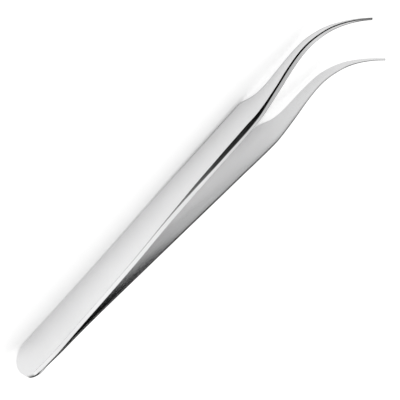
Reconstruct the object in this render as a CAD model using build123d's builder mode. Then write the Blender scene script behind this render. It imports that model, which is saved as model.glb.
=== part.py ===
from build123d import *
import math
import os

# Fine-point curved tweezers for planting and trimming in an aquarium.
#
# Frame: +X runs from the heel to the tips, the two arms are mirror images
# about the XZ plane and open along Y, and +Z is the blade width. The tweezers
# rest on the straight lower edges of the arms in the plane z = 0, with the
# curved tips rising. The origin is half way along the length, on the mirror
# plane, in the resting plane. Below, x is measured from the heel end, and
# x_shift moves it to the frame.

# ---------------------------------------------------------------- dimensions
overall_length = 120.0          # heel end to tip, along X
x_shift = -overall_length / 2

heel_width = 9.42               # blade width at the heel
heel_radius = 4.58              # rounded heel end
heel_ease_radius = 83.98        # easing from the rounded end into the lower edge
ease_x = 11.0                   # the easing meets the straight lower edge here
heel_overrun = 9.0              # heel outline drawn on past ease_x, then cut off
weld_length = 6.5               # arms lie face to face from the heel end to here
flex_x = 22.0                   # bending line, where each arm is divided

land = 0.12                     # square land on both side edges, next to the inner face
land_share = 0.4                # most of the side wall that the land may take
edge_height = 1.17              # heel: inner face to the top of the side wall
edge_inset = 0.39               # heel: how far the side wall leans in at that height
heel_thickness = 1.20           # thickness of one arm at the heel
bevel_run = 1.05                # ground bevel, run per unit of rise
reach_share = 0.40              # most of the blade width that wall and bevel take per side

trim = 0.03                     # resting edges are lofted this much low, then cut at z = 0

nugget_radius = 1.30            # spot-weld nuggets
nugget_height = 1.20            # along Y, half in each arm
nugget_fillet = 0.30
nugget_gap = 0.005              # clearance of the pockets around the nuggets
nugget_places = ((4.3, 2.75), (4.3, 6.85))      # x, z

# x, distance of the inner face from the mirror plane
opening_table = (
    (0.0, 0.0), (weld_length, 0.0), (10.0, 0.13), (14.0, 0.33), (18.0, 0.55),
    (flex_x, 0.79), (28.4, 1.18), (40.9, 2.14), (53.5, 3.24), (66.2, 4.23),
    (77.5, 5.01), (90.0, 5.95), (102.0, 6.81), (110.5, 7.43), (115.3, 7.76),
    (overall_length, 8.09),
)

# Stations along the arm: lower edge x, z; upper edge x, z; side-wall height;
# side-wall inset; whole height at the edge of the outer face; crown of the
# outer face above that
heel_profile = (edge_height, edge_inset, heel_thickness)
handle_stations = (
    (weld_length, 0.12, weld_length, heel_width, *heel_profile, 0.01),
    (8.0, 0.05, 8.0, heel_width, *heel_profile, 0.015),
    (9.5, 0.01, 9.5, heel_width, *heel_profile, 0.02),
    (ease_x, 0.00, ease_x, heel_width, *heel_profile, 0.03),
    (15.0, 0.00, 15.0, 9.27, *heel_profile, 0.06),
    (flex_x, 0.00, flex_x, 9.00, *heel_profile, 0.12),
    (30.0, 0.00, 30.0, 8.83, *heel_profile, 0.16),
    (40.0, 0.00, 40.0, 8.61, 1.16, 0.38, 1.21, 0.18),
    (50.0, 0.00, 50.0, 8.34, 1.13, 0.37, 1.26, 0.18),
    (60.0, 0.00, 60.0, 8.10, 1.08, 0.35, 1.39, 0.17),
    (70.0, 0.00, 70.0, 7.95, 0.91, 0.29, 1.51, 0.15),
    (78.0, 0.00, 78.0, 7.84, 0.86, 0.27, 1.61, 0.13),
    (83.5, 0.00, 83.68, 7.77, 0.80, 0.26, 1.60, 0.12),
    (86.4, 0.00, 86.88, 7.64, 0.83, 0.30, 1.50, 0.11),
)
neck_stations = (
    handle_stations[-1],
    (88.23, 0.48, 89.19, 7.35, 0.87, 0.35, 1.42, 0.10),
    (90.22, 1.39, 91.39, 6.94, 0.89, 0.38, 1.33, 0.09),
    (92.62, 1.88, 93.79, 6.44, 0.87, 0.38, 1.25, 0.08),
    (95.42, 1.89, 96.3, 5.90, 0.84, 0.39, 1.18, 0.08),
    (98.62, 1.62, 99.1, 5.25, 0.83, 0.42, 1.16, 0.07),
    (101.82, 1.41, 102.1, 4.65, 0.79, 0.43, 1.10, 0.06),
    (104.92, 1.33, 105.01, 4.28, 0.73, 0.43, 1.03, 0.06),
    (107.92, 1.61, 107.81, 4.32, 0.66, 0.41, 0.93, 0.05),
    (110.62, 2.45, 110.2, 4.76, 0.59, 0.38, 0.83, 0.04),
    (113.06, 3.74, 112.4, 5.46, 0.52, 0.33, 0.73, 0.04),
    (115.17, 5.47, 114.39, 6.53, 0.43, 0.24, 0.63, 0.03),
    (117.02, 7.42, 116.31, 8.02, 0.35, 0.15, 0.54, 0.02),
    (118.63, 9.48, 118.11, 9.88, 0.27, 0.09, 0.45, 0.01),
    (overall_length, 11.50, 119.58, 11.87, 0.20, 0.05, 0.34, 0.01),
)

# sketch x = X from the heel end, sketch y = Z, normal = -Y,
# so a negative extrusion goes into the left arm
side_plane = Plane(origin=(x_shift, 0, 0), x_dir=(1, 0, 0), z_dir=(0, -1, 0))
flex_plane = Plane.YZ.offset(flex_x + x_shift)


# ------------------------------------------------------------ cross-sections
def opening(x):
    """Monotone cubic through opening_table: inner face distance at x."""
    xs, ys = zip(*opening_table)
    spans = [b - a for a, b in zip(xs, xs[1:])]
    slopes = [(b - a) / span for a, b, span in zip(ys, ys[1:], spans)]

    # tangent at each point: weighted harmonic mean of the slopes on both sides
    tangents = [slopes[0]] + [0.0] * (len(xs) - 2) + [slopes[-1]]
    for i in range(1, len(xs) - 1):
        if slopes[i - 1] * slopes[i] > 0:
            before = 2 * spans[i] + spans[i - 1]
            after = spans[i] + 2 * spans[i - 1]
            tangents[i] = (before + after) / (before / slopes[i - 1] + after / slopes[i])

    i = max(k for k in range(len(spans)) if xs[k] <= x)
    t = (x - xs[i]) / spans[i]
    return (
        (2 * t**3 - 3 * t**2 + 1) * ys[i]
        + (t**3 - 2 * t**2 + t) * spans[i] * tangents[i]
        + (-2 * t**3 + 3 * t**2) * ys[i + 1]
        + (t**3 - t**2) * spans[i] * tangents[i + 1]
    )


def edge_points(station):
    """Lower and upper edge x, z; a lower edge on the resting plane drops by trim."""
    lower_x, lower_z, upper_x, upper_z = station[:4]
    return lower_x, (lower_z if lower_z > 0 else -trim), upper_x, upper_z


def section_plane(station):
    """Plane across the arm: local x from lower to upper edge, local y = +Y."""
    lower_x, lower_z, upper_x, upper_z = edge_points(station)
    across = Vector(upper_x - lower_x, 0, upper_z - lower_z).normalized()
    return Plane(
        origin=(lower_x + x_shift, opening((lower_x + upper_x) / 2), lower_z),
        x_dir=across,
        z_dir=across.cross(Vector(0, 1, 0)),
    )


def section_outline(station):
    """Closed outline of one cross-section, drawn in the current BuildLine."""
    lower_x, lower_z, upper_x, upper_z = edge_points(station)
    side, inset, whole, crown = station[4:]
    width = math.hypot(upper_x - lower_x, upper_z - lower_z)
    low = min(land, land_share * side)
    reach = min(inset + bevel_run * (whole - side), reach_share * width)
    Polyline(
        (reach, whole), (inset, side), (0, low), (0, 0),
        (width, 0), (width, low), (width - inset, side), (width - reach, whole),
    )
    ThreePointArc((width - reach, whole), (width / 2, whole + crown), (reach, whole))


def lofted_length(stations):
    """Length of the left arm through the stations, cut flat at z = 0."""
    with BuildPart() as length:
        for station in stations:
            with BuildSketch(section_plane(station)):
                with BuildLine():
                    section_outline(station)
                make_face()
        loft()
        split(bisect_by=Plane.XY, keep=Keep.TOP)
    return length.part


# ------------------------------------------------------------------ heel cap
def make_heel_cap():
    """Rounded heel of the left arm, flat on the mirror plane.

    The outline is raised in three steps (square land, leaning side wall,
    edge break) and then cut square at the end of the weld.
    """
    end_centre = (heel_radius, heel_width - heel_radius)
    ease_centre = (ease_x, heel_ease_radius)
    straight_down = -math.pi / 2
    ease_angle = math.atan2(end_centre[1] - ease_centre[1], end_centre[0] - ease_centre[0])

    def ease_point(angle):
        return (
            ease_centre[0] + heel_ease_radius * math.cos(angle),
            ease_centre[1] + heel_ease_radius * math.sin(angle),
        )

    ease_end = ease_point(ease_angle)
    ease_mid = ease_point((ease_angle + straight_down) / 2)
    outline_end = ease_x + heel_overrun
    wall_rise = edge_height - land
    wall_taper = math.degrees(math.atan(edge_inset / wall_rise))
    bevel_taper = math.degrees(math.atan(bevel_run))

    with BuildPart() as cap:
        with BuildSketch(side_plane):
            with BuildLine():
                Line((outline_end, 0), (ease_x, 0))
                ThreePointArc((ease_x, 0), ease_mid, ease_end)
                ThreePointArc(ease_end, (0, end_centre[1]), (heel_radius, heel_width))
                Polyline((heel_radius, heel_width), (outline_end, heel_width), (outline_end, 0))
            make_face()
        extrude(amount=-land)
        extrude(cap.faces().sort_by(Axis.Y)[-1], amount=wall_rise, taper=wall_taper)
        extrude(cap.faces().sort_by(Axis.Y)[-1], amount=heel_thickness - edge_height,
                taper=bevel_taper)
        split(bisect_by=Plane.YZ.offset(weld_length + x_shift), keep=Keep.BOTTOM)
    return cap.part


# -------------------------------------------------------------------- pieces
def make_nuggets():
    """Two spot-weld nuggets with rounded rims, centred on the mirror plane."""
    with BuildPart() as nuggets:
        with BuildSketch(side_plane):
            with Locations(*nugget_places):
                Circle(nugget_radius)
        extrude(amount=nugget_height / 2, both=True)
        fillet(nuggets.edges().filter_by(GeomType.CIRCLE), nugget_fillet)
    return nuggets.part


def make_left_heel(heel_cap, handle):
    """Left arm from the heel end to the bending line, with nugget pockets."""
    with BuildPart() as heel:
        add(heel_cap)
        add(handle)
        split(bisect_by=flex_plane, keep=Keep.BOTTOM)
        with BuildSketch(side_plane):
            with Locations(*nugget_places):
                Circle(nugget_radius + nugget_gap)
        extrude(amount=-(nugget_height / 2 + nugget_gap), mode=Mode.SUBTRACT)
    return heel.part


def make_left_blade(handle, neck):
    """Left arm from the bending line to the tip."""
    with BuildPart() as blade:
        add(handle)
        add(neck)
        split(bisect_by=flex_plane, keep=Keep.TOP)
    return blade.part


def mirrored(left_piece):
    """Right-arm copy of a left-arm piece."""
    with BuildPart() as right_piece:
        mirror(left_piece, about=Plane.XZ)
    return right_piece.part


handle = lofted_length(handle_stations)
neck = lofted_length(neck_stations)
left_heel = make_left_heel(make_heel_cap(), handle)
left_blade = make_left_blade(handle, neck)

pieces = {
    "arm_left_heel": left_heel,
    "arm_left_blade": left_blade,
    "arm_right_heel": mirrored(left_heel),
    "arm_right_blade": mirrored(left_blade),
    "heel_weld_nuggets": make_nuggets(),
}

# -------------------------------------------------------------------- export
os.makedirs("parts", exist_ok=True)
for name, piece in pieces.items():
    piece.label = name
    export_step(piece, f"parts/{name}.step")
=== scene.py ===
"""Steel tweezers lying on a pale floor.

The arms run along X, heel at -X and tips at +X. The left arm is on the +Y side, the right arm on
the -Y side, and they meet at y = 0 at the heel. The width of the blades stands up along Z.
"""
import math

import bmesh
import bpy
import numpy as np
from mathutils import Matrix, Vector


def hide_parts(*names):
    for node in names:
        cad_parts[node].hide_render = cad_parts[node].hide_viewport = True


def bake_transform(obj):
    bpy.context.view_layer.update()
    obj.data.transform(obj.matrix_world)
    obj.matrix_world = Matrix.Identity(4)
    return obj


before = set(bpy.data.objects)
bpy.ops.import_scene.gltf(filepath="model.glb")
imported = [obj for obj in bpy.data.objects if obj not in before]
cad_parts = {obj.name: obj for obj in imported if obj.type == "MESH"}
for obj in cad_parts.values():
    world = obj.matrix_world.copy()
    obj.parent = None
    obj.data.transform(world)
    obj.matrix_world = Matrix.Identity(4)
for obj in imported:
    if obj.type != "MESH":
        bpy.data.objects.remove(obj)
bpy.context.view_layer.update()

# ------------------------------------------------------------------ dimensions
# Millimetres. x is measured from the heel end.
MM = 0.001
ARM_LENGTH = 120.0
X_SHIFT = -ARM_LENGTH / 2

LAND = 0.12  # upright strip of the side wall next to the inner face
BEVEL_RUN = 1.05  # inward run of the bevel for each millimetre of its height
HEEL_WIDTH = 9.42
HEEL_R = 4.58  # round heel end
HEEL_CROWN = 0.03
EASE_R = 83.98  # large arc that eases the heel into the straight lower edge
EASE_X = 11.0  # where that arc meets the lower edge
WELD_X = 6.5  # the arms touch up to here

# x, distance of the inner face from y = 0
OPENING = (
    (0.0, 0.0), (WELD_X, 0.0), (10.0, 0.13), (14.0, 0.33), (18.0, 0.55), (22.0, 0.79),
    (28.4, 1.18), (40.9, 2.14), (53.5, 3.24), (66.2, 4.23), (77.5, 5.01), (90.0, 5.95),
    (102.0, 6.81), (110.5, 7.43), (115.3, 7.76), (ARM_LENGTH, 8.09),
)
# lower edge x, z; upper edge x, z; side height; side inset; whole height; crown
# (heights are measured outward from the inner face)
HANDLE = (
    (6.5, 0.12, 6.5, HEEL_WIDTH, 1.17, 0.39, 1.20, 0.00),
    (8.0, 0.05, 8.0, HEEL_WIDTH, 1.17, 0.39, 1.20, 0.01),
    (9.5, 0.01, 9.5, HEEL_WIDTH, 1.17, 0.39, 1.20, 0.02),
    (11.0, 0.00, 11.0, HEEL_WIDTH, 1.17, 0.39, 1.20, HEEL_CROWN),
    (15.0, 0.00, 15.0, 9.27, 1.17, 0.39, 1.20, 0.06),
    (22.0, 0.00, 22.0, 9.00, 1.17, 0.39, 1.20, 0.12),
    (30.0, 0.00, 30.0, 8.83, 1.17, 0.39, 1.20, 0.16),
    (40.0, 0.00, 40.0, 8.61, 1.16, 0.38, 1.21, 0.18),
    (50.0, 0.00, 50.0, 8.34, 1.13, 0.37, 1.26, 0.18),
    (60.0, 0.00, 60.0, 8.10, 1.08, 0.35, 1.39, 0.17),
    (70.0, 0.00, 70.0, 7.95, 0.91, 0.29, 1.51, 0.15),
    (78.0, 0.00, 78.0, 7.84, 0.86, 0.27, 1.61, 0.13),
    (83.5, 0.00, 83.68, 7.77, 0.80, 0.26, 1.60, 0.12),
    (86.4, 0.00, 86.88, 7.64, 0.83, 0.30, 1.50, 0.11),
)
# same columns
NECK = (
    HANDLE[-1],
    (88.23, 0.48, 89.19, 7.35, 0.87, 0.35, 1.42, 0.10),
    (90.22, 1.39, 91.39, 6.94, 0.89, 0.38, 1.33, 0.09),
    (92.62, 1.88, 93.79, 6.44, 0.87, 0.38, 1.25, 0.08),
    (95.42, 1.89, 96.3, 5.90, 0.84, 0.39, 1.18, 0.08),
    (98.62, 1.62, 99.1, 5.25, 0.83, 0.42, 1.16, 0.07),
    (101.82, 1.41, 102.1, 4.65, 0.79, 0.43, 1.10, 0.06),
    (104.92, 1.33, 105.01, 4.28, 0.73, 0.43, 1.03, 0.06),
    (107.92, 1.61, 107.81, 4.32, 0.66, 0.41, 0.93, 0.05),
    (110.62, 2.45, 110.2, 4.76, 0.59, 0.38, 0.83, 0.04),
    (113.06, 3.74, 112.4, 5.46, 0.52, 0.33, 0.73, 0.04),
    (115.17, 5.47, 114.39, 6.53, 0.43, 0.24, 0.63, 0.03),
    (117.02, 7.42, 116.31, 8.02, 0.35, 0.15, 0.54, 0.02),
    (118.63, 9.48, 118.11, 9.88, 0.27, 0.09, 0.45, 0.01),
    (ARM_LENGTH, 11.50, 119.58, 11.87, 0.20, 0.05, 0.34, 0.01),
)
# slope of the four outline columns where the neck leaves the handle
NECK_START_SLOPES = (1.0, 0.0, 1.0, -0.05)
# rings that round off the tip: size, advance along the arm
TIP_RINGS = ((1.0, -0.10), (0.90, -0.045), (0.66, -0.012), (0.34, 0.0))
TIP_CLEARANCE = 0.05

# Stations along the arm
HEEL_ARC_STATIONS, HEEL_STRAIGHT_STATIONS = 33, 13
HANDLE_STATIONS, NECK_STATIONS = 96, 110

# Points round a section: lower side profile, outer face, upper side profile, inner face.
# A side profile has its two end points and four rounded corners.
ARC_STEPS = 4
PROFILE_POINTS = 2 + 4 * (ARC_STEPS + 2)
FACE_POINTS = 13
INNER_POINTS = 9
INNER_START = 2 * PROFILE_POINTS + FACE_POINTS
RING_POINTS = INNER_START + INNER_POINTS
# both profiles numbered from the inner face outward; the inner face from upper to lower
LOWER = np.arange(PROFILE_POINTS)
UPPER = np.arange(PROFILE_POINTS + FACE_POINTS, INNER_START)[::-1]
INNER = np.arange(INNER_START, RING_POINTS)


# ------------------------------------------------------------- interpolation
def monotone(x, y, at):
    """Monotone cubic curve through the knots."""
    step = np.diff(x)
    rise = np.diff(y) / step
    slope = np.zeros(len(x))
    slope[0], slope[-1] = rise[0], rise[-1]
    for i in range(1, len(x) - 1):
        if rise[i - 1] * rise[i] > 0:
            w1, w2 = 2 * step[i] + step[i - 1], step[i] + 2 * step[i - 1]
            slope[i] = (w1 + w2) / (w1 / rise[i - 1] + w2 / rise[i])
    at = np.clip(at, x[0], x[-1])
    i = np.clip(np.searchsorted(x, at, side="right") - 1, 0, len(x) - 2)
    h = x[i + 1] - x[i]
    t = (at - x[i]) / h
    return (
        (2 * t**3 - 3 * t**2 + 1) * y[i] + (t**3 - 2 * t**2 + t) * h * slope[i]
        + (-2 * t**3 + 3 * t**2) * y[i + 1] + (t**3 - t**2) * h * slope[i + 1]
    )


def spline(x, y, at, start_slope):
    """Cubic spline through the knots, with a given slope at the start and natural at the end."""
    n = len(x)
    h = np.diff(x)
    system = np.zeros((n, n))
    target = np.zeros(n)
    system[-1, -1] = 1
    system[0, 0], system[0, 1] = 2 * h[0], h[0]
    target[0] = 6 * ((y[1] - y[0]) / h[0] - start_slope)
    for i in range(1, n - 1):
        system[i, i - 1:i + 2] = h[i - 1], 2 * (h[i - 1] + h[i]), h[i]
        target[i] = 6 * ((y[i + 1] - y[i]) / h[i] - (y[i] - y[i - 1]) / h[i - 1])
    bend = np.linalg.solve(system, target)
    i = np.clip(np.searchsorted(x, at, side="right") - 1, 0, n - 2)
    span, before, after = h[i], at - x[i], x[i + 1] - at
    return (
        bend[i] * after**3 / (6 * span) + bend[i + 1] * before**3 / (6 * span)
        + (y[i] / span - bend[i] * span / 6) * after
        + (y[i + 1] / span - bend[i + 1] * span / 6) * before
    )


def opening(x):
    knots_x, knots_y = np.array(OPENING).T
    return monotone(knots_x, knots_y, x)


def smooth(x, start, end):
    """Smooth step from 0 at start to 1 at end."""
    t = np.clip((x - start) / (end - start), 0.0, 1.0)
    return t * t * (3 - 2 * t)


def hump(x, rise, fall, peak=1.0):
    """Smooth rise to the peak and fall back to 0, over two (start, end) ranges."""
    return peak * smooth(x, *rise) * (1 - smooth(x, *fall))


# ------------------------------------------------------------------ stations
def heel_stations():
    """The round end, cosine spaced, then the stretch up to the handle."""
    centre_z = HEEL_WIDTH - HEEL_R
    # point where the heel circle and the easing arc touch
    dx, dz = HEEL_R - EASE_X, centre_z - EASE_R
    touch_x = EASE_X + dx * (EASE_R / math.hypot(dx, dz))
    angles = np.linspace(0, 90, HEEL_ARC_STATIONS)
    xs = [HEEL_R * (1 - math.cos(math.radians(angle))) for angle in angles]
    xs += list(np.linspace(HEEL_R, EASE_X, HEEL_STRAIGHT_STATIONS))[1:-1]
    rows = []
    for x in xs:
        half = math.sqrt(max(0, HEEL_R**2 - (HEEL_R - x) ** 2))
        upper = centre_z + half if x < HEEL_R else HEEL_WIDTH
        if x < touch_x:
            lower = centre_z - half
        else:
            lower = EASE_R - math.sqrt(EASE_R**2 - (x - EASE_X) ** 2)
        crown = HEEL_CROWN * max(0.0, (x - WELD_X) / (EASE_X - WELD_X))
        rows.append((x, lower, x, upper, *HANDLE[0][4:7], crown))
    return np.array(rows)


def handle_stations():
    """The straight-bottomed stretch, without the last station, which the neck repeats."""
    table = np.array(HANDLE, float)
    knots = table[:, 0]
    x = np.linspace(EASE_X, knots[-1], HANDLE_STATIONS)
    upper_z = np.minimum(spline(knots, table[:, 3], x, 0.0), HEEL_WIDTH)
    columns = [x, np.zeros_like(x), x + np.interp(x, knots, table[:, 2] - knots), upper_z]
    columns += [monotone(knots, table[:, c], x) for c in range(4, 8)]
    return np.column_stack(columns)[:-1]


def neck_stations():
    """The neck and tip, spaced by distance along the middle of the arm."""
    table = np.array(NECK, float)
    middle = (table[:, 0:2] + table[:, 2:4]) / 2
    knots = np.r_[0, np.cumsum(np.hypot(*np.diff(middle, axis=0).T))]
    s = np.linspace(0, knots[-1], NECK_STATIONS)
    columns = [spline(knots, table[:, c], s, slope) for c, slope in enumerate(NECK_START_SLOPES)]
    columns[1] = np.maximum(columns[1], 0.0)
    columns += [monotone(knots, table[:, c], s) for c in range(4, 8)]
    return np.column_stack(columns)


# ------------------------------------------------------------------- section
def inward(outline, sign):
    """Unit normals of an (x, z) outline, pointing into the blade."""
    t = np.gradient(outline, axis=0)
    t /= np.maximum(np.hypot(t[:, 0], t[:, 1]), 1e-9)[:, None]
    return np.c_[-t[:, 1], t[:, 0]] * sign


def rounded(corners, radii):
    """The inner corners each become a small arc with a holding point on either side."""
    points = [corners[0]]
    for i, radius in enumerate(radii, 1):
        corner = corners[i]
        back, ahead = corners[i - 1] - corner, corners[i + 1] - corner
        len_back, len_ahead = np.hypot(*back), np.hypot(*ahead)
        r = min(radius, 0.42 * len_back, 0.42 * len_ahead)
        unit_back, unit_ahead = back / max(len_back, 1e-9), ahead / max(len_ahead, 1e-9)
        start, end = corner + unit_back * r, corner + unit_ahead * r
        hold = min(r * 0.9, 0.06)
        points.append(start + unit_back * min(hold, 0.05 * len_back + 0.5 * r))
        for t in np.linspace(0, 1, ARC_STEPS):
            points.append((1 - t) ** 2 * start + 2 * t * (1 - t) * corner + t * t * end)
        points.append(end + unit_ahead * min(hold, 0.05 * len_ahead + 0.5 * r))
    points.append(corners[-1])
    return np.array(points)


def profile(side, inset, whole, width):
    """Side profile as (distance in from the edge, height): land, side wall, bevel."""
    land = min(LAND, 0.4 * side)
    reach = max(min(inset + BEVEL_RUN * (whole - side), 0.40 * width), 0.0)
    # the first and last points lie a little way in on the inner and outer faces
    into = min(0.35, 0.08 * width)
    corners = np.array((
        (into, 0.0), (0.0, 0.0), (0.0, land), (inset, side), (reach, whole), (reach + into, whole),
    ))
    return rounded(corners, (0.045, 0.08, 0.05, 0.045))


def between(start, end, count):
    """Evenly spaced points strictly between two points, and their fractions."""
    t = np.linspace(0, 1, count + 2)[1:-1]
    return start[None, :] * (1 - t)[:, None] + end[None, :] * t[:, None], t


def arm_rings(sign):
    """Sections from heel to tip, each an array of x, y, z points."""
    stations = np.vstack([heel_stations(), handle_stations(), neck_stations()])
    x = stations[:, 0]
    low, up = stations[:, 0:2], stations[:, 2:4].copy()
    trim = np.zeros(len(x))
    if sign > 0:
        # the left arm's upper edge is a hair fuller in the heel half, and further on its
        # upper bevel lies nearer the edge
        up[:, 1] += hump(x, (5.5, 12.0), (42.0, 56.0), 0.14)
        trim = hump(x, (66.0, 75.0), (88.0, 95.0), 0.12)
    else:
        # the right arm's heel stands a little proud of the left one's
        up[:, 1] += hump(x, (0.3, 1.6), (4.2, 7.0), 0.24)
    low_in, up_in = inward(low, 1.0), inward(up, -1.0)
    low_in[0] = up_in[0] = (1.0, 0.0)
    rings = []
    for i, (side, inset, whole, crown) in enumerate(stations[:, 4:8]):
        width = float(np.hypot(*(up[i] - low[i])))
        section_width = max(width if x[i] > HEEL_R else 2 * HEEL_R, 0.05)
        low_profile = profile(side, inset, whole, section_width)
        up_profile = profile(side, inset - trim[i], whole, section_width)
        low_plan = low[i] + low_in[i] * low_profile[:, :1]
        up_plan = up[i] + up_in[i] * up_profile[:, :1]
        if x[i] < HEEL_R:
            # round the end the two sides may not pass each other
            over = low_plan[:, 1] > up_plan[:, 1]
            low_plan[over, 1] = up_plan[over, 1] = ((low[i] + up[i]) / 2)[1]
            crown = crown * min(1.0, width / 9.0)
        lower = np.c_[low_plan, low_profile[:, 1]]
        upper = np.c_[up_plan, up_profile[:, 1]]
        outer, v = between(lower[-1], upper[-1], FACE_POINTS)
        outer[:, 2] += crown * (1 - (2 * v - 1) ** 2)
        inner, _ = between(upper[0], lower[0], INNER_POINTS)
        ring = np.vstack([lower, outer, upper[::-1], inner])
        y = opening(ring[:, 0]) + ring[:, 2]
        rings.append(np.c_[ring[:, 0] + X_SHIFT, sign * y, ring[:, 1]])
    return rings


def round_tip(rings):
    """Replace the last sections by shrinking rings; also returns the closing point."""
    last = rings[-1]
    centre = last.mean(axis=0)
    along = (last - rings[-2]).mean(axis=0)
    along /= np.linalg.norm(along)
    tip = [centre + (last - centre) * size + along * advance for size, advance in TIP_RINGS]
    rings = rings[:-1]
    while (rings[-1].mean(axis=0) - tip[0].mean(axis=0)) @ along > -TIP_CLEARANCE:
        rings = rings[:-1]
    return rings + tip, centre


# --------------------------------------------------------- finish and painted shade attributes
def mask(*spans):
    """Weights round a ring, from (point numbers, weight) pairs."""
    weights = np.zeros(RING_POINTS)
    for points, weight in spans:
        weights[points] = weight
    return weights


def painted_shading_weights(x, sign):
    """Painted light and shade: how dark each point is; rows are rings, columns points round them.
    Below 0 is lighter.
    """
    left = sign > 0
    # painted shade: the tip's upper edges and bevel are darkened, on the left arm also the side wall
    # and the point
    tip_spans = [(UPPER[0:4], 1.0), (UPPER[16:21], 0.9)]
    if left:
        tip_spans.append((UPPER[4:11], 0.9))
    tip = np.outer(smooth(x, 110.5, 114.5), mask(*tip_spans))
    if left:
        tip = np.maximum(tip, np.outer(smooth(x, 116.8, 118.6), np.full(RING_POINTS, 0.5)))
    # painted shade in the seam at the heel end, wider nearest the end
    wide = mask((UPPER[0:13], 0.85) if left else (UPPER[0:15], 1.0))
    narrow = mask((UPPER[0:12], 0.75) if left else (UPPER[0:13], 1.0))
    heel = np.maximum(
        np.outer(hump(x, (1.3, 2.0), (2.9, 3.7)), wide),
        np.outer(hump(x, (2.0, 2.8), (4.2, 5.2)), narrow),
    )
    if left:
        # painted shade: a thin dark outline along the lower edge
        outline = np.outer(0.22 * smooth(x, 20.0, 70.0), mask((LOWER[17:25], 1.0)))
        # painted light and shade: the upper side wall is lighter along the handle and darker at the
        # tip
        wall = mask((UPPER[3:15], 1.0))
        tone = np.outer(hump(x, (12.0, 34.0), (66.0, 84.0), -0.15), wall)
        tone += np.outer(0.30 * smooth(x, 109.0, 113.0), wall)
        # painted shade: the upper bevel and inner corner darken about the neck
        bevel = mask((UPPER[15:22], 1.0))
        tone += np.outer(hump(x, (64.0, 74.0), (86.0, 94.0), 0.40), bevel)
        corner = mask((UPPER[0:10], 1.0))
        tone += np.outer(hump(x, (80.0, 87.0), (104.0, 114.0), 0.30), corner)
    else:
        # painted shade: a dark outline along the upper side
        line = mask((UPPER[1:17], 1.0), (UPPER[0], 0.3))
        outline = np.outer(0.6 * smooth(x, 6.0, 10.0), line)
        # painted shade in the throat between the arms: the inner face darkens towards its upper edge
        reach = hump(x, (12.0, 20.0), (40.0, 56.0), 0.6)
        tone = np.zeros((len(x), RING_POINTS))
        for k, point in enumerate(INNER):
            tone[:, point] = reach * (1 - smooth((k + 1) / (INNER_POINTS + 1), 0.0, 0.3))
        tone[:, UPPER[0]] = reach
    return np.maximum(tip + heel, outline) + tone


def add_attributes(mesh, rings, sign):
    """Per-vertex values for the finish and the painted shade; each ends with the value at the closing
    point.
    """
    n = len(rings)
    centres = [ring.mean(0) for ring in rings]
    steps = [np.linalg.norm(centres[i + 1] - centres[i]) for i in range(n - 1)]
    length = np.r_[0, np.cumsum(steps)]
    x = np.array([ring[:, 0].mean() for ring in rings]) - X_SHIFT
    edge, bevel, wall = [], [], []
    for side in (LOWER, UPPER):
        edge += [(side[2:6], 0.8), (side[14:18], 0.5), (side[20:24], 1.0)]
        bevel += [(side[9:15], 0.8), (side[16:22], 1.0)]
        wall += [(side[4:15], 1.0)]
    wall_part = np.outer(smooth(x, 3.0, 8.0), mask(*wall))
    for name, values in (
        ("along", np.r_[np.repeat(length, RING_POINTS), length[-1]] * MM),
        ("around", np.r_[np.tile(np.linspace(0, 1, RING_POINTS, endpoint=False), n), 0.5]),
        ("edge", np.r_[np.tile(mask(*edge), n), 0.5]),
        ("bevel", np.r_[np.tile(mask(*bevel), n), 0.0]),
        ("wall", np.r_[wall_part.ravel(), 0.0]),
        ("painted_shading", np.r_[painted_shading_weights(x, sign).ravel(), 0.6]),
    ):
        attribute = mesh.attributes.new(name, "FLOAT", "POINT")
        attribute.data.foreach_set("value", values.astype(np.float32))


def arm_mesh(name, sign):
    """One continuous arm; sign is +1 for the left arm and -1 for the right."""
    rings, tip_point = round_tip(arm_rings(sign))
    n, m = len(rings), RING_POINTS
    points = np.vstack([np.vstack(rings) * MM, [tip_point * MM]])
    faces = []
    for i in range(n - 1):
        for j in range(m):
            k = (j + 1) % m
            faces.append((i * m + j, i * m + k, (i + 1) * m + k, (i + 1) * m + j))
    for j in range(m):
        faces.append(((n - 1) * m + j, (n - 1) * m + (j + 1) % m, n * m))
    if sign > 0:
        faces = [face[::-1] for face in faces]
    mesh = bpy.data.meshes.new(name)
    mesh.from_pydata([tuple(p) for p in points], [], faces)
    mesh.update()
    add_attributes(mesh, rings, sign)

    bm = bmesh.new()
    bm.from_mesh(mesh)
    bmesh.ops.remove_doubles(bm, verts=bm.verts, dist=2e-7)
    bmesh.ops.dissolve_degenerate(bm, edges=bm.edges, dist=1e-7)
    bmesh.ops.recalc_face_normals(bm, faces=bm.faces)
    bm.to_mesh(mesh)
    bm.free()
    mesh.polygons.foreach_set("use_smooth", [True] * len(mesh.polygons))
    mesh.update()
    arm = bpy.data.objects.new(name, mesh)
    bpy.context.scene.collection.objects.link(arm)
    return arm


# -------------------------------------------------------------- node helpers
def node(tree, kind, inputs=None, **properties):
    """Add a node; each input is a value or the socket that feeds it."""
    made = tree.nodes.new(kind)
    for key, value in properties.items():
        setattr(made, key, value)
    for key, value in (inputs or {}).items():
        if isinstance(value, bpy.types.NodeSocket):
            tree.links.new(value, made.inputs[key])
        else:
            made.inputs[key].default_value = value
    return made


def calc(tree, operation, first, second, clamp=False):
    inputs = {0: first, 1: second}
    return node(tree, "ShaderNodeMath", inputs, operation=operation, use_clamp=clamp).outputs[0]


def remap(tree, value, source, target=(0.0, 1.0), kind="LINEAR"):
    inputs = {
        "Value": value, "From Min": source[0], "From Max": source[1],
        "To Min": target[0], "To Max": target[1],
    }
    return node(tree, "ShaderNodeMapRange", inputs, interpolation_type=kind).outputs[0]


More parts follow.
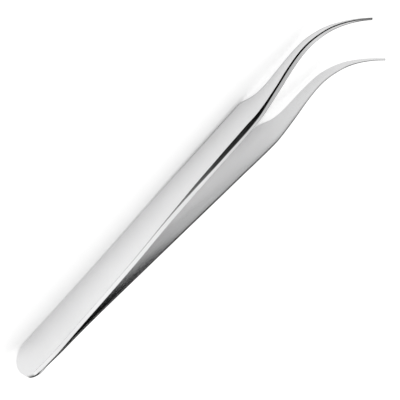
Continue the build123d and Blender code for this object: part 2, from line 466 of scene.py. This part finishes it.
# ------------------------------------------------------------------ materials
GRAIN_SCALE = (90.0, 4200.0, 4200.0)  # noise stretched along the blade
GRAIN_ROUGH = 0.10  # roughness swing of the grain
SMUDGE_SCALE = 160.0
SMUDGE_ROUGH = 0.10  # roughness swing of the smudges
SMUDGE_TONE = 0.012  # tone swing of the smudges
BEVEL_POLISH = 0.09  # roughness taken off the bevels
EDGE_POLISH = 0.03  # roughness taken off the edges
EDGE_LIFT = 0.03  # tone added on the edges
BLUE_TINT = 1.004
GRAZE = (0.56, 0.70)  # facing range over which the side walls go dark, a painted dark reflection
PAINTED_SHADING_DARK = 0.92  # painted darkening where the painted shading attribute is 1
BUMP_STRENGTH, BUMP_DISTANCE = 0.10, 0.00001


def steel(name, tone, rough, grain):
    """Satin steel: lengthwise grain, soft smudges, brighter edges and smoother bevels."""
    material = bpy.data.materials.new(name)
    material.use_nodes = True
    tree = material.node_tree
    tree.nodes.clear()

    def attribute(key):
        made = node(tree, "ShaderNodeAttribute", attribute_type="GEOMETRY", attribute_name=key)
        return made.outputs["Fac"]

    def noise(vector, scale, detail, roughness):
        inputs = {"Vector": vector, "Scale": scale, "Detail": detail, "Roughness": roughness}
        return node(tree, "ShaderNodeTexNoise", inputs).outputs["Fac"]

    def swing(value, amount):
        return calc(tree, "MULTIPLY", calc(tree, "SUBTRACT", value, 0.5), amount)

    place = node(tree, "ShaderNodeTexCoord").outputs["Object"]
    stretched = node(tree, "ShaderNodeMapping", {"Vector": place, "Scale": GRAIN_SCALE}).outputs[0]
    fine = noise(stretched, scale=1.0, detail=3.0, roughness=0.6)
    broad = noise(place, scale=SMUDGE_SCALE, detail=4.0, roughness=0.55)
    edge = attribute("edge")

    # roughness
    uneven = calc(tree, "ADD", swing(fine, GRAIN_ROUGH * grain), swing(broad, SMUDGE_ROUGH))
    uneven = calc(tree, "ADD", uneven, rough)
    polish = calc(tree, "MULTIPLY", attribute("bevel"), BEVEL_POLISH)
    uneven = calc(tree, "SUBTRACT", uneven, polish)
    worn = calc(tree, "MULTIPLY", edge, EDGE_POLISH)
    roughness = calc(tree, "SUBTRACT", uneven, worn, clamp=True)

    # colour
    grey = remap(tree, broad, (0.25, 0.75), (tone - SMUDGE_TONE, tone + SMUDGE_TONE))
    grey = calc(tree, "ADD", grey, calc(tree, "MULTIPLY", edge, EDGE_LIFT))
    blue = calc(tree, "MULTIPLY", grey, BLUE_TINT)
    colour = node(tree, "ShaderNodeCombineColor", {0: grey, 1: grey, 2: blue}).outputs[0]

    # painted shade: the side walls go dark when seen edge-on, in place of a dark reflection
    facing = node(tree, "ShaderNodeLayerWeight", {"Blend": 0.5}).outputs["Facing"]
    graze = remap(tree, facing, GRAZE, kind="SMOOTHSTEP")
    dark = calc(tree, "MULTIPLY", graze, attribute("wall"))
    keep = calc(tree, "SUBTRACT", 1.0, dark)
    # painted shade, and painted light where the weight is below 0
    painted_dim = calc(tree, "MULTIPLY", attribute("painted_shading"), PAINTED_SHADING_DARK)
    shade = calc(tree, "MULTIPLY", keep, calc(tree, "SUBTRACT", 1.0, painted_dim))
    inputs = {0: colour, "Scale": shade}
    shaded = node(tree, "ShaderNodeVectorMath", inputs, operation="SCALE").outputs[0]

    bump = node(tree, "ShaderNodeBump", {
        "Strength": BUMP_STRENGTH * grain, "Distance": BUMP_DISTANCE, "Height": fine,
    })
    surface = node(tree, "ShaderNodeBsdfPrincipled", {
        "Base Color": shaded, "Metallic": keep, "Roughness": roughness,
        "Specular IOR Level": 0.0, "Normal": bump.outputs[0],
    })
    node(tree, "ShaderNodeOutputMaterial", {"Surface": surface.outputs[0]})
    return material


CARD_TONE = 0.90  # floor colour as seen directly
FLOOR_GLOW, GLOSS_GLOW = 0.29, 0.08  # emission seen directly, and in reflections
GLOSS_GAIN = 1.34  # brightens the reflected tones
GLOSS_SPAN = (-0.100, 0.100)  # x range of the reflected gradient, metres
GLOSS_STOPS = ((0.0, 0.69), (0.36, 0.74), (0.60, 0.65), (1.0, 0.62))  # place in the span, tone


def floor_material():
    """Pale card of one tone when seen directly; reflections see it graded along X, a painted
    reflection tone for the arms.
    """
    material = bpy.data.materials.new("stage_floor")
    material.use_nodes = True
    tree = material.node_tree
    place = node(tree, "ShaderNodeTexCoord").outputs["Object"]
    split = node(tree, "ShaderNodeSeparateXYZ", {0: place})
    gradient = node(tree, "ShaderNodeValToRGB", {0: remap(tree, split.outputs["X"], GLOSS_SPAN)})
    elements = gradient.color_ramp.elements
    while len(elements) < len(GLOSS_STOPS):
        elements.new(0.5)
    for element, (position, tone) in zip(elements, GLOSS_STOPS):
        element.position = position
        element.color = (*[tone * GLOSS_GAIN] * 3, 1)
    glossy = node(tree, "ShaderNodeLightPath").outputs["Is Glossy Ray"]
    # colour mix: 0 factor, 6 and 7 the two colours
    inputs = {0: glossy, 6: (CARD_TONE, CARD_TONE, CARD_TONE, 1), 7: gradient.outputs[0]}
    colour = node(tree, "ShaderNodeMix", inputs, data_type="RGBA").outputs[2]
    glow = calc(tree, "MULTIPLY", glossy, GLOSS_GLOW - FLOOR_GLOW)
    glow = calc(tree, "ADD", glow, FLOOR_GLOW)
    surface = tree.nodes["Principled BSDF"].inputs
    tree.links.new(colour, surface["Base Color"])
    tree.links.new(colour, surface["Emission Color"])
    tree.links.new(glow, surface["Emission Strength"])
    surface["Roughness"].default_value = 0.9
    surface["Specular IOR Level"].default_value = 0.0
    return material


# ---------------------------------------------------------------------- build
satin = steel("satin_steel", tone=0.85, rough=0.20, grain=1.0)
weld = steel("weld_metal", tone=0.55, rough=0.45, grain=0.6)

arms = {"left": arm_mesh("arm_left", 1.0), "right": arm_mesh("arm_right", -1.0)}
for side, arm in arms.items():
    arm.data.materials.append(satin)
    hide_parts(f"arm_{side}_heel", f"arm_{side}_blade")
    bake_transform(arm)

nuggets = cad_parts["heel_weld_nuggets"]
nuggets.data.materials.clear()
nuggets.data.materials.append(weld)

# ---------------------------------------------------------------------- floor
FLOOR_HALF = 3  # metres
FLOOR_DROP = 0.00001  # keeps the floor just under the arms

floor_mesh = bpy.data.meshes.new("stage_floor")
floor_corners = [(x * FLOOR_HALF, y * FLOOR_HALF, 0) for x, y in ((-1, -1), (1, -1), (1, 1), (-1, 1))]
floor_mesh.from_pydata(floor_corners, [], [(0, 1, 2, 3)])
floor = bpy.data.objects.new("stage_floor", floor_mesh)
floor.location = (0, 0, -FLOOR_DROP)
bpy.context.scene.collection.objects.link(floor)
floor.data.materials.append(floor_material())

# ---------------------------------------------------------------------- world
SKY_SPAN = (-0.60, 0.60)  # x of the direction over which the reflected light falls off
SKY_TONES = (1.06, 0.48)  # its strength at the two ends
DARK_AXIS = (-0.25, -1.0, 0.35)
DARK_EDGE = (-0.31, -0.22)  # along the axis: dark below, lit above
DARK_TONE = 0.006
DOME, DOME_LOW = 0.96, 0.85  # light on diffuse surfaces, and its share at the horizon
DOME_BIAS = 0.15  # extra from -Y, less from +Y


def build_world():
    """Separate surroundings for reflections, for diffuse light and for the camera."""
    world = bpy.data.worlds.new("studio")
    bpy.context.scene.world = world
    world.use_nodes = True
    tree = world.node_tree
    tree.nodes.clear()
    direction = node(tree, "ShaderNodeTexCoord").outputs["Generated"]
    x, y, z = node(tree, "ShaderNodeSeparateXYZ", {0: direction}).outputs

    # reflections: a broad soft light falling off toward +X, and a dark room on the +Y side
    fall = remap(tree, x, SKY_SPAN, SKY_TONES)
    tilt = node(tree, "ShaderNodeVectorMath", {0: direction, 1: DARK_AXIS}, operation="DOT_PRODUCT")
    room = remap(tree, tilt.outputs["Value"], DARK_EDGE, (DARK_TONE, 1.0), "SMOOTHSTEP")
    reflected = calc(tree, "MULTIPLY", fall, room)

    # diffuse light: an overhead dome, a little stronger from -Y
    height = calc(tree, "MULTIPLY", z, z)
    dome = remap(tree, height, (0.0, 1.0), (DOME * DOME_LOW, DOME * (2.0 - DOME_LOW)))
    bias = remap(tree, y, (-1.0, 1.0), (1 + DOME_BIAS, 1 - DOME_BIAS))
    dome = calc(tree, "MULTIPLY", dome, bias)

    # float mix: 0 factor, 2 and 3 the two values; the camera itself sees plain white
    path = node(tree, "ShaderNodeLightPath").outputs
    light = node(tree, "ShaderNodeMix", {0: path["Is Diffuse Ray"], 2: reflected, 3: dome})
    seen = node(tree, "ShaderNodeMix", {0: path["Is Camera Ray"], 2: light.outputs[0], 3: 1.0})
    inputs = {"Color": seen.outputs[0], "Strength": 1.0}
    background = node(tree, "ShaderNodeBackground", inputs)
    node(tree, "ShaderNodeOutputWorld", {"Surface": background.outputs[0]})
    world.cycles.sampling_method = "NONE"


build_world()

# --------------------------------------------------------------------- camera
CAMERA_PLACE = (15.348, 113.599, 83.123)
CAMERA_AXES = (
    (0.69967, -0.44382, 0.55990),  # right
    (0.70953, 0.33970, -0.61738),  # up
    (0.08382, 0.82923, 0.55259),  # back, away from the view
)

camera_data = bpy.data.cameras.new("camera")
camera = bpy.data.objects.new("camera", camera_data)
bpy.context.scene.collection.objects.link(camera)
camera_data.lens = 50.4955
camera_data.sensor_width = 36.0
camera_data.clip_start = 0.005
camera_data.clip_end = 20.0
turn = Matrix(CAMERA_AXES).transposed().to_4x4()
camera.matrix_world = Matrix.Translation(Vector(CAMERA_PLACE) * MM) @ turn
bpy.context.scene.camera = camera

view = bpy.context.scene.view_settings
view.view_transform = "Standard"
view.look = "None"
view.exposure = 0.0
view.gamma = 1.0

# ----------------------------------------------------------------------- done
bpy.context.view_layer.update()
